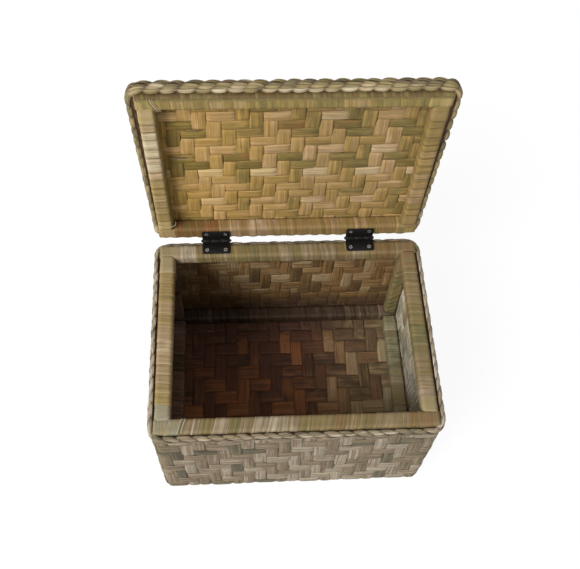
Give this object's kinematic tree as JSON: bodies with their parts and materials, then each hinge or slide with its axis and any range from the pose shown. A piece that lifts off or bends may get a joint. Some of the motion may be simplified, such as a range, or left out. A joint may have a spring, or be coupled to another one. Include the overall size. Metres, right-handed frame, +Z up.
{
  "type": "woven lidded box",
  "caption": "Rectangular storage box of twill-woven leaf on a leaf-wound wooden frame, with plaited edges and a framed lid that swings on butt hinges",
  "frame": {"origin": "middle of the underside of the floor, on the surface the box stands on", "axes": "+X to the box's right seen from the front, +Y to the hinged back, +Z up"},
  "size_m": [0.3332, 0.2809, 0.4458],
  "materials": {
    "batten_wood": "matte",
    "wound_leaf": "matte",
    "twill_leaf": "matte",
    "plaited_leaf": "matte",
    "black_hinge": "satin",
    "screw_steel": "satin"
  },
  "bodies": {
    "box": {"base_batten_front": "batten_wood", "base_winding_front": "wound_leaf", "base_batten_back": "batten_wood", "base_winding_back": "wound_leaf", "base_batten_left": "batten_wood", "base_winding_left": "wound_leaf", "base_batten_right": "batten_wood", "base_winding_right": "wound_leaf", "post_batten_front_left": "batten_wood", "post_winding_front_left": "wound_leaf", "post_batten_front_right": "batten_wood", "post_winding_front_right": "wound_leaf", "post_batten_back_left": "batten_wood", "post_winding_back_left": "wound_leaf", "post_batten_back_right": "batten_wood", "post_winding_back_right": "wound_leaf", "rim_batten_front": "batten_wood", "rim_winding_front": "wound_leaf", "rim_batten_back": "batten_wood", "rim_winding_back": "wound_leaf", "rim_batten_left": "batten_wood", "rim_winding_left": "wound_leaf", "rim_batten_right": "batten_wood", "rim_winding_right": "wound_leaf", "wall_mat_front": "twill_leaf", "wall_mat_back": "twill_leaf", "wall_mat_left": "twill_leaf", "wall_mat_right": "twill_leaf", "floor_mat": "twill_leaf", "rim_braid": "plaited_leaf", "hinge_leaf_box_left": "black_hinge", "screw_box_left_1": "screw_steel", "screw_box_left_2": "screw_steel", "hinge_pin_left": "black_hinge", "hinge_leaf_box_right": "black_hinge", "screw_box_right_1": "screw_steel", "screw_box_right_2": "screw_steel", "hinge_pin_right": "black_hinge"},
    "lid": {"lid_batten_front": "batten_wood", "lid_winding_front": "wound_leaf", "lid_batten_back": "batten_wood", "lid_winding_back": "wound_leaf", "lid_batten_left": "batten_wood", "lid_winding_left": "wound_leaf", "lid_batten_right": "batten_wood", "lid_winding_right": "wound_leaf", "lid_mat": "twill_leaf", "lid_braid": "plaited_leaf", "hinge_leaf_lid_left": "black_hinge", "screw_lid_left_1": "screw_steel", "screw_lid_left_2": "screw_steel", "hinge_leaf_lid_right": "black_hinge", "screw_lid_right_1": "screw_steel", "screw_lid_right_2": "screw_steel"}
  },
  "joints": [
    {"name": "lid_hinge", "type": "hinge", "parent": "box", "child": "lid", "pos_m": [0, 0.1272, 0.188], "axis": [1, 0, 0], "range_deg": [-45, 90.8]}
  ]
}
